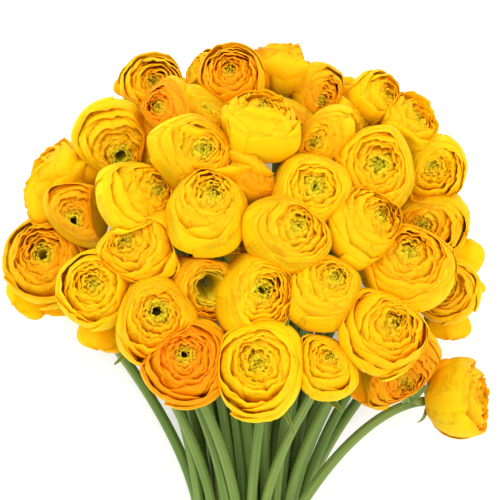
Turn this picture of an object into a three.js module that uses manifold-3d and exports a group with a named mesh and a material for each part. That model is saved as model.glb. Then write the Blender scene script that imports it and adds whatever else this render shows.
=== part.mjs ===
// A tied bunch of cut ranunculus, lying on its side on a table.
//
// Frame, in millimetres: +Z is up from the table, +Y runs along the bunch from the cut ends to the head of
// blooms, and +X is across it. Every bloom is its own solid. The stems lie in the tie in flat layers, one
// above another, and each layer is one solid, joined where its stems are squeezed together. A stem that
// stands away from the rest, and the twine round them all, are solids of their own.

import * as THREE from "three";
import { mergeVertices } from "three/addons/utils/BufferGeometryUtils.js";
import Module from "manifold-3d";

const wasm = await Module();
wasm.setup();

// ---- Driving dimensions ----

const CLEARANCE = 0.3; // between pieces that touch

// The head is a dome. Its centre is measured from the middle of the tie, and its half sizes run to the
// middles of the blooms.
const HEAD = { side: -9, ahead: 171, height: 62, halfWidth: 142, halfLength: 193, rise: 100 };

const BLOOM = { halfHeight: 22, footRadius: 5, sides: 10 };
// How far out and how high the bud-shaped outline runs, as shares of a bloom's radius and half height.
const BLOOM_OUTLINE = [
  [0.62, -0.74],
  [0.93, -0.3],
  [1.0, 0.18],
  [0.9, 0.62],
  [0.55, 1.0],
];

const STEM = { diameter: 7.6, squeeze: 0.4, sides: 6, tailLength: 96, tailSpread: 1.2 };
// Stems leave the tie level and swing up towards their blooms, then turn into the back of the bloom.
const STEM_CURVE = { ease: 60, knee: 26, shortKnee: 9, lowest: 36, turnLength: 30, splay: 1.4, steps: 4 };
// The stray stem climbs over its neighbours before it turns away.
const STRAY_STEM = { climb: 60, climbSide: 0.36, climbRise: 0.36, knee: 46 };

const STEMS_IN_LAYERS = [7, 8, 11, 11, 8, 5]; // from the table upwards, and the last one is the stray stem
const TWINE = { thickness: 2.4, width: 9, slackSide: 2, slackUp: 5, segments: 20 };

const PETAL_YELLOW = 0xfdc70f;
const STEM_GREEN = 0x5f7f35;
const TWINE_TAN = 0xb08d57;

// ---- The flowers ----
//
// Crown: the flowers on the upper side. Each row is the place across and along the head as a share of its
// half width and half length, the lift above or below the dome, the bloom's radius, and how many degrees
// its face leans to the side and towards the top of the head.
const CROWN = [
  [-0.44, 0.95, 0, 24, 8, 13],
  [-0.03, 0.98, 8, 26, -4, 15],
  [0.24, 1.03, -4, 24, 5, 76],
  [0.38, 0.93, 10, 25, 20, -8],
  [-0.35, 0.86, 6, 24, -21, 8],
  [-0.62, 0.75, 8, 28, 5, -14],
  [-0.22, 0.71, 8, 29, 18, 5],
  [-0.44, 0.77, -14, 22, 9, 14],
  [0.1, 0.79, 8, 27, 12, 56],
  [-0.92, 0.59, 8, 29, -58, 28],
  [-0.11, 0.87, -6, 22, 11, 0],
  [-0.5, 0.53, 4, 27, 30, 20],
  [-0.15, 0.48, 10, 30, 3, 27],
  [-0.82, 0.47, 6, 24, -6, 0],
  [-0.98, 0.29, 14, 30, -8, 17],
  [-0.5, 0.38, 2, 29, -15, 0],
  [-0.7, 0.19, 4, 27, -7, 9],
  [-0.4, 0.1, 4, 29, 2, 3],
  [-0.25, -0.06, 2, 29, 3, 8],
  [0.12, -0.08, 6, 30, -6, 5],
  [0.45, -0.09, 0, 23, 6, 17],
  [0.73, 0.04, 10, 30, 15, 11],
  [0.82, -0.09, -22, 29, 14, -14],
  [0.44, 0.19, 2, 27, 14, 20],
  [0.25, 0.4, 8, 30, 16, 11],
  [0.38, 0.56, 0, 30, 6, 8],
  [0.71, 0.64, 10, 30, 5, 5],
  [0.43, 0.75, -2, 23, -13, -6],
  [0.6, 0.82, 0, 21, 39, -10],
  [0.7, 0.91, 0, 20, 38, 20],
  [0.85, 0.81, -2, 24, 40, 34],
  [0.99, 0.66, 6, 25, 4, -12],
  [0.98, 0.47, 6, 28, -4, -14],
  [0.63, 0.42, -2, 26, 33, 22],
  [0.86, 0.28, 14, 29, 5, 22],
  [1.09, 0.18, 6, 27, -9, 7],
  [0.09, 0.6, -12, 21, 33, 14],
  [0.06, 0.19, -4, 28, 22, 2],
  [-0.17, 0.23, -16, 26, 11, -12],
  [0.31, 0.83, -12, 20, 5, -10],
  [0.0, 0.37, -30, 19, 10, 10],
  [-0.2, 0.98, -8, 20, -26, 32],
];

// The one flower that stands away from the bunch on its own stem, in the same terms.
const STRAY = [1.12, -0.23, 14, 28, 72, 4];

// Underside: the flowers that the bunch rests on. Each row is the place across and along the head, the
// bloom's radius, and the compass turn of its face, in degrees from +Y towards +X.
const UNDERSIDE = [
  [-0.8, 0.23, 25, -70],
  [-0.585, 0.69, 25, -40],
  [-0.275, 0.9, 24, -15],
  [0.1, 0.93, 24, 3],
  [0.47, 0.93, 20, 20],
  [0.79, 0.67, 25, 42],
  [1.0, 0.24, 25, 72],
];
const UNDERSIDE_REST = { sink: 3, faceUp: 4 }; // the press of the weight, and the tilt of the faces

// ---- Small helpers ----

const degrees = (angle) => (angle * Math.PI) / 180;

// A closed mesh as a solid for cutting and joining.
function solidOf(geometry) {
  const plain = geometry.clone();
  plain.deleteAttribute("normal");
  plain.deleteAttribute("uv");
  const merged = mergeVertices(plain, 1e-4);
  return new wasm.Manifold(
    new wasm.Mesh({
      numProp: 3,
      vertProperties: merged.attributes.position.array,
      triVerts: new Uint32Array(merged.index.array),
    }),
  );
}

// A solid back to a mesh's geometry.
function geometryOf(solid) {
  const mesh = solid.getMesh();
  const positions = new Float32Array(mesh.numVert * 3);
  for (let i = 0; i < mesh.numVert; i++) {
    positions.set(mesh.vertProperties.subarray(i * mesh.numProp, i * mesh.numProp + 3), i * 3);
  }
  const geometry = new THREE.BufferGeometry();
  geometry.setAttribute("position", new THREE.BufferAttribute(positions, 3));
  geometry.setIndex(new THREE.BufferAttribute(new Uint32Array(mesh.triVerts), 1));
  geometry.computeVertexNormals();
  return geometry;
}

// ---- Where each flower is, and which way it faces ----

const domeMiddle = new THREE.Vector3(HEAD.side, HEAD.ahead, HEAD.height);

function crownFlower([across, along, lift, radius, leanSide, leanUp]) {
  const roundness = Math.sqrt(Math.max(0, 1 - across ** 2 - along ** 2));
  const sideways = Math.sin(degrees(leanSide));
  const upwards = Math.sin(degrees(leanUp));
  return {
    middle: new THREE.Vector3(
      domeMiddle.x + across * HEAD.halfWidth,
      domeMiddle.y + along * HEAD.halfLength,
      domeMiddle.z + roundness * HEAD.rise + lift,
    ),
    facing: new THREE.Vector3(
      sideways,
      upwards,
      Math.sqrt(Math.max(0.02, 1 - sideways ** 2 - upwards ** 2)),
    ).normalize(),
    radius,
  };
}

function undersideFlower([across, along, radius, turn]) {
  const up = degrees(UNDERSIDE_REST.faceUp);
  return {
    middle: new THREE.Vector3(
      domeMiddle.x + across * HEAD.halfWidth,
      domeMiddle.y + along * HEAD.halfLength,
      radius - UNDERSIDE_REST.sink,
    ),
    facing: new THREE.Vector3(
      Math.sin(degrees(turn)) * Math.cos(up),
      Math.cos(degrees(turn)) * Math.cos(up),
      Math.sin(up),
    ),
    radius,
  };
}

const strayFlower = crownFlower(STRAY);
const bunchFlowers = [...CROWN.map(crownFlower), ...UNDERSIDE.map(undersideFlower)];
const flowers = [...bunchFlowers, strayFlower];

for (const flower of flowers) {
  flower.foot = flower.middle.clone().addScaledVector(flower.facing, -BLOOM.halfHeight);
}

// ---- Stems ----

const stemHeight = STEM.diameter * Math.cos(Math.PI / STEM.sides);
const layerPitch = stemHeight + 2 * CLEARANCE;
const slotPitch = STEM.diameter - STEM.squeeze;
const bottomLayerHeight = TWINE.thickness + TWINE.slackUp + stemHeight / 2;
const middleHeight = bottomLayerHeight + ((STEMS_IN_LAYERS.length - 1) * layerPitch) / 2;

// The way gained towards a bloom after each millimetre of run from the tie.
const eased = (run) => Math.hypot(run, STEM_CURVE.ease) - STEM_CURVE.ease;

for (const flower of flowers) {
  // A bloom low over the table has less room for its stem to turn in.
  const room = THREE.MathUtils.clamp(
    (flower.foot.z - STEM_CURVE.lowest) / Math.max(flower.facing.z, 0.1),
    STEM_CURVE.shortKnee,
    STEM_CURVE.knee,
  );
  flower.knee = flower.foot.clone().addScaledVector(flower.facing, -room);
  flower.rise = (flower.knee.z - middleHeight) / eased(flower.knee.y);
  flower.swing = flower.knee.x / eased(flower.knee.y);
}

// The line of a stem from its place in the tie to the foot of its bloom.
function climbingLine({ foot, facing, knee, slot }) {
  const along = (run) => {
    const share = eased(run) / eased(knee.y);
    return new THREE.Vector3(
      THREE.MathUtils.lerp(slot.x, knee.x, share ** STEM_CURVE.splay),
      run,
      THREE.MathUtils.lerp(slot.z, knee.z, share),
    );
  };
  const end = foot.clone().addScaledVector(facing, -CLEARANCE);
  const turnAt = knee.y - STEM_CURVE.turnLength;
  const points = [];
  for (let i = 0; i < STEM_CURVE.steps; i++) points.push(along((turnAt * i) / STEM_CURVE.steps));
  const turn = new THREE.QuadraticBezierCurve3(along(turnAt), knee, end);
  return [...points, ...turn.getPoints(3)];
}

// The stray stem's line from its place in the tie.
function strayLine({ foot, facing, slot }) {
  const away = new THREE.Vector3(STRAY_STEM.climbSide, 1, STRAY_STEM.climbRise).normalize();
  const end = foot.clone().addScaledVector(facing, -CLEARANCE);
  return new THREE.CubicBezierCurve3(
    slot,
    slot.clone().addScaledVector(away, STRAY_STEM.climb),
    foot.clone().addScaledVector(facing, -STRAY_STEM.knee),
    end,
  ).getPoints(7);
}

// The line of the cut tail behind the tie. The tails sag on to the table and spread a little.
function tailLine(slot, trim) {
  const cutEnd = new THREE.Vector3(
    slot.x * STEM.tailSpread,
    trim - STEM.tailLength,
    slot.z - bottomLayerHeight + stemHeight / 2,
  );
  const third = new THREE.Vector3(0, STEM.tailLength / 3, 0);
  const curve = new THREE.CubicBezierCurve3(
    cutEnd,
    cutEnd.clone().add(third),
    slot.clone().sub(third),
    slot,
  );
  return curve.getPoints(3).slice(0, 3);
}

// A round bar along a flower's line, closed at both ends, with a corner of its section always sideways.
function stemGeometry({ line, facing }, diameter = STEM.diameter) {
  const positions = [];
  const faces = [];
  line.forEach((point, i) => {
    const before = line[Math.max(i - 1, 0)];
    const after = line[i + 1];
    const forward = after ? after.clone().sub(before).normalize() : facing;
    const side = new THREE.Vector3(1, 0, 0).addScaledVector(forward, -forward.x).normalize();
    const up = new THREE.Vector3().crossVectors(side, forward);
    for (let k = 0; k < STEM.sides; k++) {
      const turn = (k / STEM.sides) * 2 * Math.PI;
      const corner = point
        .clone()
        .addScaledVector(side, (Math.cos(turn) * diameter) / 2)
        .addScaledVector(up, (Math.sin(turn) * diameter) / 2);
      positions.push(...corner.toArray());
    }
  });
  const rows = line.length - 1;
  for (let k = 0; k < STEM.sides; k++) {
    const next = (k + 1) % STEM.sides;
    for (let i = 0; i < rows; i++) {
      const a = i * STEM.sides + k;
      const b = i * STEM.sides + next;
      faces.push(a, a + STEM.sides, b, b, a + STEM.sides, b + STEM.sides);
    }
    if (k > 0 && next > 0) {
      faces.push(0, k, next);
      faces.push(rows * STEM.sides, rows * STEM.sides + next, rows * STEM.sides + k);
    }
  }
  const geometry = new THREE.BufferGeometry();
  geometry.setAttribute("position", new THREE.Float32BufferAttribute(positions, 3));
  geometry.setIndex(faces);
  return geometry;
}

// The place of a stem in the tie.
const slotAt = (level, place) =>
  new THREE.Vector3(
    (place - (STEMS_IN_LAYERS[level] - 1) / 2) * slotPitch,
    0,
    bottomLayerHeight + level * layerPitch,
  );

// The layers of the tie: flat-lying stems are lowest, and each layer is in order across.
const byRise = [...bunchFlowers].sort((a, b) => a.rise - b.rise);
const layers = STEMS_IN_LAYERS.map((count) => byRise.splice(0, count).sort((a, b) => a.swing - b.swing));

layers.forEach((layer, level) => {
  layer.forEach((flower, place) => {
    flower.slot = slotAt(level, place);
    flower.line = [...tailLine(flower.slot, 2 * Math.sin(2.4 * place + level)), ...climbingLine(flower)];
  });
});

const topLevel = STEMS_IN_LAYERS.length - 1;
strayFlower.slot = slotAt(topLevel, STEMS_IN_LAYERS[topLevel] - 1);
strayFlower.slot.x += STEM.squeeze + CLEARANCE;
strayFlower.line = [...tailLine(strayFlower.slot, 3), ...strayLine(strayFlower)];

// ---- Blooms ----

// A bud-shaped solid that stands on a flat round foot, with its face up the Y axis.
function bloomGeometry(radius) {
  const outline = [
    new THREE.Vector2(0, -BLOOM.halfHeight),
    new THREE.Vector2(BLOOM.footRadius, -BLOOM.halfHeight),
    ...BLOOM_OUTLINE.map(([out, up]) => new THREE.Vector2(out * radius, up * BLOOM.halfHeight)),
    new THREE.Vector2(0, BLOOM.halfHeight),
  ];
  return new THREE.LatheGeometry(outline, BLOOM.sides);
}

// How far a bloom's outline reaches from its middle.
const reachOf = ({ radius }) =>
  Math.max(...BLOOM_OUTLINE.map(([out, up]) => Math.hypot(out * radius, up * BLOOM.halfHeight)));

// The line inside a bloom from its foot to its middle, which no press ever cuts.
const coreOf = ({ foot, middle }) => new THREE.Line3(foot, middle);

// The closest points of two lines, first on the one and then on the other.
function closest(line, other) {
  const here = new THREE.Vector3();
  const there = new THREE.Vector3();
  line.distanceSqToLine3(other, here, there);
  return { here, between: there.sub(here) };
}

// Petals give way where two blooms press together, so each is cut flat there: the cut lies where two
// round blooms of those sizes would meet.
function pressedBetween(flower, other) {
  const { here, between } = closest(coreOf(flower), coreOf(other));
  const distance = between.length();
  if (distance > reachOf(flower) + reachOf(other)) return null;
  const share = (distance ** 2 + flower.radius ** 2 - other.radius ** 2) / (2 * distance ** 2);
  const kept = THREE.MathUtils.clamp(share, 0.3, 0.7);
  return { from: here, outward: between.normalize(), reach: distance * kept - CLEARANCE / 2 };
}

// A stem that runs past a bloom presses it flat in the same way, at each straight run of its line.
function pressedByStem(flower, line) {
  return line.slice(1).map((point, i) => {
    const { here, between } = closest(coreOf(flower), new THREE.Line3(line[i], point));
    const reach = between.length() - STEM.diameter / 2 - CLEARANCE;
    return reach < reachOf(flower) ? { from: here, outward: between.normalize(), reach } : null;
  });
}

const tableUnder = ({ middle }) => ({ from: middle, outward: new THREE.Vector3(0, 0, -1), reach: middle.z });

function bloomMesh(flower, index) {
  const turned = new THREE.Quaternion().setFromUnitVectors(new THREE.Vector3(0, 1, 0), flower.facing);
  const unturned = turned.clone().invert();
  const others = flowers.filter((other) => other !== flower);
  const presses = [
    tableUnder(flower),
    ...others.map((other) => pressedBetween(flower, other)),
    ...others.flatMap((other) => pressedByStem(flower, other.line)),
  ].filter(Boolean);

  let solid = solidOf(bloomGeometry(flower.radius));
  for (const { from, outward, reach } of presses) {
    const inward = outward.clone().applyQuaternion(unturned).negate();
    const fromMiddle = from.clone().sub(flower.middle).dot(outward);
    solid = solid.trimByPlane(inward.toArray(), -(reach + fromMiddle));
  }
  const mesh = new THREE.Mesh(geometryOf(solid), petalMaterial);
  mesh.name = "bloom_" + String(index + 1).padStart(2, "0");
  mesh.quaternion.copy(turned);
  mesh.position.copy(flower.middle);
  return mesh;
}

// ---- Twine ----

// An oval band round every layer, with its lowest line on the table.
function twineGeometry() {
  const up = ((STEMS_IN_LAYERS.length - 1) * layerPitch + stemHeight) / 2 + TWINE.slackUp;
  // The oval is wide enough to clear the corners of the last stem in every layer.
  const widths = STEMS_IN_LAYERS.flatMap((count, level) => {
    const height = Math.abs(level - (STEMS_IN_LAYERS.length - 1) / 2) * layerPitch;
    const last = ((count - 1) * slotPitch + STEM.diameter) / 2;
    const widthAt = (x, z) => x / Math.sqrt(1 - (z / up) ** 2);
    return [widthAt(last, height), widthAt(last - STEM.diameter / 4, height + stemHeight / 2)];
  });
  const across = Math.max(...widths) + TWINE.slackSide;
  const outside = new THREE.Shape();
  outside.absellipse(0, 0, across + TWINE.thickness, up + TWINE.thickness, 0, 2 * Math.PI);
  const inside = new THREE.Path();
  inside.absellipse(0, 0, across, up, 0, 2 * Math.PI);
  outside.holes.push(inside);
  const band = new THREE.ExtrudeGeometry(outside, {
    depth: TWINE.width,
    bevelEnabled: false,
    curveSegments: TWINE.segments,
  });
  band.translate(0, 0, -TWINE.width / 2);
  band.rotateX(Math.PI / 2);
  band.translate(0, 0, up + TWINE.thickness);
  return band;
}

// ---- The bunch ----

const petalMaterial = new THREE.MeshStandardMaterial({ color: PETAL_YELLOW, roughness: 0.55, metalness: 0 });
const stemMaterial = new THREE.MeshStandardMaterial({ color: STEM_GREEN, roughness: 0.6, metalness: 0 });
const twineMaterial = new THREE.MeshStandardMaterial({ color: TWINE_TAN, roughness: 0.9, metalness: 0 });

const bunch = new THREE.Group();

flowers.forEach((flower, index) => bunch.add(bloomMesh(flower, index)));

// Each layer in turn, and the stray stem last, is pressed clear of every stem below it.
let below = null;
[...layers, [strayFlower]].forEach((layer, level) => {
  const join = (diameter) =>
    layer.map((flower) => solidOf(stemGeometry(flower, diameter))).reduce((sum, stem) => sum.add(stem));
  const whole = join(STEM.diameter);
  const fat = join(STEM.diameter + 2 * CLEARANCE);
  const mesh = new THREE.Mesh(geometryOf(below ? whole.subtract(below) : whole), stemMaterial);
  mesh.name = level < layers.length ? "stem_layer_" + (level + 1) : "stray_stem";
  bunch.add(mesh);
  below = below ? below.add(fat) : fat;
});

const twine = new THREE.Mesh(twineGeometry(), twineMaterial);
twine.name = "twine_tie";
bunch.add(twine);

// The origin is on the table, under the middle of the whole bunch.
const box = new THREE.Box3().setFromObject(bunch, true);
const middle = box.getCenter(new THREE.Vector3());
bunch.position.set(-middle.x, -middle.y, -box.min.z);

const root = new THREE.Group();
root.add(bunch);
export default root;
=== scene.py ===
# %% [markdown]
# # A tied bunch of cut ranunculus
# Fifty Persian buttercups lie on a table, tied once round their stems. A ranunculus is a globe of paper-thin
# petals, wrapped one over another in a spiral. The CAD solids say where every bloom is, which way it faces
# and where its neighbours press it flat. This lesson grows real petals in those places.

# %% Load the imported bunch
import math

import bpy
import numpy as np
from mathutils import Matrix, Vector


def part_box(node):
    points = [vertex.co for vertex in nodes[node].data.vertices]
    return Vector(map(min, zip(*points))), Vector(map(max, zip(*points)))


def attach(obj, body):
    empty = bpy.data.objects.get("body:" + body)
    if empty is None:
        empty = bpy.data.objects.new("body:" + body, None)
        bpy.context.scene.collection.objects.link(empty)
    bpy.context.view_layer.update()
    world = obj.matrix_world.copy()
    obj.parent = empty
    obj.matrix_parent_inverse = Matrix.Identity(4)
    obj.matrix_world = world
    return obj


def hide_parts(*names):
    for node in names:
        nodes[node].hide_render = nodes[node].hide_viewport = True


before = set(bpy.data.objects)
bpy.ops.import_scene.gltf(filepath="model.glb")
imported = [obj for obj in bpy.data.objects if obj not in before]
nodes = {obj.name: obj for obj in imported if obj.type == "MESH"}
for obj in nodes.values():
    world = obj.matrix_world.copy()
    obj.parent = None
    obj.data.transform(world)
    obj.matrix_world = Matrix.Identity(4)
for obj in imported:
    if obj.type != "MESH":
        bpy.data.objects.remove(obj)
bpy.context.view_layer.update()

MM = 0.001

# %% [markdown]
# ## Camera, table and light
# The bunch is seen from straight above, as when it is laid out to be looked at. A long lens far away keeps
# the outer blooms from leaning. The light of a studio is made of big soft panels and a bright room, so the
# shadows between petals stay open, and their warm orange is partly painted shade in the petals' colour. The
# table is a plain pale sheet.

# %% Camera
tie_low, tie_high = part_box("twine_tie")
tie = (tie_low + tie_high) / 2
VIEW_AHEAD = 237 * MM    # from the tie to the middle of the view
VIEW_WIDTH = 365 * MM    # across the view, at the level of the bloom faces
FACE_LEVEL = 100 * MM
CAMERA_LEVEL = 2200 * MM
SENSOR = 36.0

scene = bpy.context.scene
camera = bpy.data.objects.new("camera", bpy.data.cameras.new("camera"))
scene.collection.objects.link(camera)
camera.location = (tie.x, tie.y + VIEW_AHEAD, CAMERA_LEVEL)
camera.data.sensor_width = SENSOR
camera.data.lens = SENSOR * (CAMERA_LEVEL - FACE_LEVEL) / VIEW_WIDTH
scene.camera = camera
print("lens", round(camera.data.lens, 1), "mm")


# %% Table and lights
def plain_material(name, colour, roughness):
    material = bpy.data.materials.new(name)
    material.use_nodes = True
    shader = material.node_tree.nodes["Principled BSDF"]
    shader.inputs["Base Color"].default_value = (*colour, 1)
    shader.inputs["Roughness"].default_value = roughness
    return material


def mesh_object(name, points, faces):
    mesh = bpy.data.meshes.new(name)
    mesh.from_pydata([tuple(point) for point in points], [], faces)
    mesh.update()
    made = bpy.data.objects.new(name, mesh)
    scene.collection.objects.link(made)
    return made


TABLE_HALF = 3.0
TABLE_GLOW = 0.30    # lifts the sheet to the white of the room, so that only soft shadows show on it
corners = [(side * TABLE_HALF, ahead * TABLE_HALF, 0) for side, ahead in ((-1, -1), (1, -1), (1, 1), (-1, 1))]
table = mesh_object("table", corners, [(0, 1, 2, 3)])
pale = plain_material("pale_table", (0.85, 0.85, 0.85), 0.9)
pale.node_tree.nodes["Principled BSDF"].inputs["Emission Color"].default_value = (1, 1, 1, 1)
pale.node_tree.nodes["Principled BSDF"].inputs["Emission Strength"].default_value = TABLE_GLOW
table.data.materials.append(pale)


def soft_panel(name, place, size, strength):
    panel = bpy.data.objects.new(name, bpy.data.lights.new(name, "AREA"))
    panel.data.shape = "DISK"
    panel.data.size = size
    panel.data.energy = strength
    panel.location = place
    aim = Vector((tie.x, tie.y + VIEW_AHEAD, FACE_LEVEL)) - Vector(place)
    panel.rotation_euler = aim.to_track_quat("-Z", "Y").to_euler()
    scene.collection.objects.link(panel)


soft_panel("key_panel", (-0.9, 1.5, 2.0), 1.2, 23)
soft_panel("fill_panel", (1.3, -0.3, 2.2), 1.6, 16)
world = bpy.data.worlds.new("bright_room")
world.use_nodes = True
world.node_tree.nodes["Background"].inputs["Color"].default_value = (1.0, 0.99, 0.97, 1)
world.node_tree.nodes["Background"].inputs["Strength"].default_value = 1.2
scene.world = world
scene.view_settings.view_transform = "Standard"
scene.view_settings.look = "None"

# %% [markdown]
# ## Where the blooms are
# Each CAD bloom is a closed solid that stands on a small round foot, where its stem ends. The foot gives the
# bloom's place and the way that it faces, so the petals grow exactly where the solid is.

# %% Read a bloom from its solid
HALF_HEIGHT = 22 * MM
FOOT_RADIUS = 5 * MM
FOOT_SIDE = 2 * FOOT_RADIUS * math.sin(math.pi / 10)    # the foot has ten sides
ONE_FLAT = 0.03 * MM      # faces this close to one plane are one flat
ONE_LENGTH = 0.02 * MM    # and lengths this close are the same


def is_part_of(flat, spot, normal):
    """Whether a face through a spot lies on a flat."""
    return flat[0] @ normal > 0.9999 and abs(flat[0] @ (spot - flat[2][0])) < ONE_FLAT


def flats_of(node):
    """The flats of a solid: the normal, the area and the corners of each."""
    corners = np.array([vertex.co for vertex in node.data.vertices])
    flats = []
    for face in node.data.polygons:
        spots = corners[list(face.vertices)]
        cross = np.cross(spots[1] - spots[0], spots[2] - spots[0])
        doubled = np.linalg.norm(cross)
        if doubled < 1e-9:
            continue
        normal = cross / doubled
        same = next((flat for flat in flats if is_part_of(flat, spots[0], normal)), None)
        if same:
            same[1] += doubled / 2
            same[2].extend(spots)
        else:
            flats.append([normal, doubled / 2, list(spots)])
    return [(normal, area, np.unique(np.round(spots, 6), axis=0)) for normal, area, spots in flats]


def foot_corners(flat):
    """Those corners of a flat that have a neighbour one side of the foot away."""
    spots = flat[2]
    apart = np.linalg.norm(spots[:, None] - spots[None], axis=2)
    return spots[(np.abs(apart - FOOT_SIDE) < ONE_LENGTH).any(axis=1)]


def circle_middle(spots, normal):
    """The middle of the circle that a few spots on one plane lie on."""
    rows = np.vstack([2 * (spots[1:] - spots[0]), normal])
    sums = np.append((spots[1:] ** 2).sum(1) - (spots[0] ** 2).sum(), normal @ spots[0])
    return np.linalg.lstsq(rows, sums, rcond=None)[0]


def read_bloom(number):
    node = nodes[f"bloom_{number:02d}"]
    foot_flat = max(flats_of(node), key=lambda flat: len(foot_corners(flat)))
    facing = -foot_flat[0]
    foot = circle_middle(foot_corners(foot_flat), foot_flat[0])
    middle = foot + facing * HALF_HEIGHT
    from_middle = np.array([vertex.co for vertex in node.data.vertices]) - middle
    out = np.linalg.norm(from_middle - np.outer(from_middle @ facing, facing), axis=1)
    return {"number": number, "foot": foot, "facing": facing, "middle": middle, "radius": out.max()}


blooms = [read_bloom(number) for number in range(1, 51)]
sizes = [round(bloom["radius"] * 2 / MM) for bloom in blooms]
print("blooms", len(blooms), "from", min(sizes), "to", max(sizes), "mm wide")

# %% [markdown]
# ## Where the stems run
# The florist laid the stems into the tie in flat layers, the lowest stems first, and each row in order
# across. Ahead of the tie every stem swings up towards its own bloom in one eased curve, so that none
# crosses another, and turns into the back of the bloom at a knee. Behind the tie the cut tails spread a
# little. These are the same rules that made the CAD stems, so the drawn stems fill them.

# %% The lines of the stems
STEMS_IN_LAYERS = (7, 8, 11, 11, 8, 5)    # from the table upwards, and the last one stands away
STEM_WIDTH = 7.6 * MM
STEM_HEIGHT = STEM_WIDTH * math.cos(math.pi / 6)
LAYER_PITCH = STEM_HEIGHT + 0.6 * MM
SLOT_PITCH = 7.2 * MM
LOWEST_LAYER = 7.4 * MM + STEM_HEIGHT / 2
MIDDLE_LAYER = LOWEST_LAYER + LAYER_PITCH * (len(STEMS_IN_LAYERS) - 1) / 2
EASE = 60 * MM             # how far a stem runs ahead of the tie before it climbs steadily
TAIL = 96 * MM             # from the tie back to the cut
TAIL_STEPS = 15            # points on a tail, and the next one is in the tie
TAIL_SPREAD = 1.2
TURN_LENGTH = 30 * MM      # the turn into the back of the bloom
LOWEST_KNEE = 36 * MM
KNEE_ROOM = (9 * MM, 26 * MM)
SPLAY = 1.4
STEM_IN_BLOOM = 1.5 * MM   # how far a stem runs into its bloom
FROM_TIE = np.array([tie.x, tie.y, 0.0])


def eased(run):
    return math.hypot(run, EASE) - EASE


def bend(points, steps):
    """A smooth curve through a Bezier's points, three or four of them."""
    share = np.linspace(0, 1, steps)[:, None]
    points = [np.asarray(point, float) for point in points]
    while len(points) > 1:
        points = [near + (far - near) * share for near, far in zip(points, points[1:])]
    return points[0]


def plan_stem(bloom):
    foot = bloom["foot"] - FROM_TIE
    facing = bloom["facing"]
    least, most = KNEE_ROOM
    room = min(max((foot[2] - LOWEST_KNEE) / max(facing[2], 0.1), least), most)
    knee = foot - facing * room
    bloom["knee"] = knee
    bloom["rise"] = (knee[2] - MIDDLE_LAYER) / eased(knee[1])
    bloom["swing"] = knee[0] / eased(knee[1])


def tail_points(slot, trim):
    cut = np.array([slot[0] * TAIL_SPREAD, trim - TAIL, slot[2] - LOWEST_LAYER + STEM_HEIGHT / 2])
    third = np.array([0, TAIL / 3, 0])
    return bend([cut, cut + third, slot - third, slot], TAIL_STEPS + 1)[:-1]


def climbing_points(bloom, slot):
    knee = bloom["knee"]
    foot, facing = bloom["foot"] - FROM_TIE, bloom["facing"]
    end = foot + facing * STEM_IN_BLOOM

    def along(run):
        share = eased(run) / eased(knee[1])
        return np.array(
            [slot[0] + (knee[0] - slot[0]) * share**SPLAY, run, slot[2] + (knee[2] - slot[2]) * share],
        )

    turn_at = knee[1] - TURN_LENGTH
    climb = [along(turn_at * step / 24) for step in range(24)]
    return np.array([*climb, *bend([along(turn_at), knee, end], 12)])


def slot_at(level, place):
    side = (place - (STEMS_IN_LAYERS[level] - 1) / 2) * SLOT_PITCH
    return np.array([side, 0.0, LOWEST_LAYER + level * LAYER_PITCH])


stray = blooms[-1]
for bloom in blooms[:-1]:
    plan_stem(bloom)
waiting = sorted(blooms[:-1], key=lambda bloom: bloom["rise"])
layers = []
for level, count in enumerate(STEMS_IN_LAYERS):
    layer = sorted(waiting[:count], key=lambda bloom: bloom["swing"])
    waiting = waiting[count:]
    layers.append(layer)
    for place, bloom in enumerate(layer):
        slot = slot_at(level, place)
        tail = tail_points(slot, 2 * MM * math.sin(2.4 * place + level))
        bloom["stem"] = np.vstack([tail, climbing_points(bloom, slot)]) + FROM_TIE

away = np.array([0.36, 1.0, 0.36]) / math.sqrt(1 + 2 * 0.36**2)    # the way that the last stem leaves the tie
STRAY_CLIMB = 60 * MM
STRAY_TURN = 47.5 * MM
stray_slot = slot_at(5, 4) + np.array([0.7 * MM, 0, 0])
stray_end = stray["foot"] - FROM_TIE + stray["facing"] * STEM_IN_BLOOM
stray_knee = stray_end - stray["facing"] * STRAY_TURN
stray_run = bend([stray_slot, stray_slot + away * STRAY_CLIMB, stray_knee, stray_end], 40)
stray["stem"] = np.vstack([tail_points(stray_slot, 3 * MM), stray_run]) + FROM_TIE
print("stems in the layers", [len(layer) for layer in layers])

# %% [markdown]
# ## Where flowers press on each other
# In a tight bunch each bloom takes the room that its neighbours leave. Where two meet, the one nearer to the
# eye stays round, and the lower one wraps round it. So a press is a ball: the upper bloom has to stay inside
# the ball, and the lower one outside. It touches the point where two round blooms of their sizes would meet,
# measured from the line between foot and middle, the core that nothing can push aside. Petals are soft, so
# they come a little closer than that, and the upper bloom spreads a little over the lower one. Stems that
# run past and the table press too, and a flat press is just a ball that is very large.

# %% Presses on a bloom
BLOOM_FULLNESS = 1.24     # the petals swell into the corners that round solids leave open
PRESS_ROUNDNESS = 2.3     # how large a press is, as a share of the upper bloom's radius
UPPER_SHARE = 3.0 * MM    # how much further the upper bloom of two spreads
PRESS_SLACK = 2.2 * MM    # how much closer soft petals come
FAIR_SHARE = (0.3, 0.7)   # no bloom gives up more of the room between two, or takes more
CORE = 3 * MM             # no stem presses a bloom thinner than this
STEM_NEAR = 12 * MM       # stems further off than this don't touch a bloom
FLAT_BALL = 10.0
TABLE_CLEAR = 0.4 * MM


def closest_points(first, last, other_first, other_last):
    """The closest points of two straight lines, the one on the first line and the one on the other."""
    along, other = last - first, other_last - other_first
    start = first - other_first
    a, e, f = along @ along, other @ other, other @ start
    b, c = along @ other, along @ start
    room = a * e - b * b
    here = min(max((b * f - c * e) / room, 0), 1) if room > 1e-16 else 0.0
    there = (b * here + f) / e
    if there < 0 or there > 1:
        there = min(max(there, 0), 1)
        here = min(max((b * there - c) / a, 0), 1)
    return first + along * here, other_first + other * there


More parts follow.
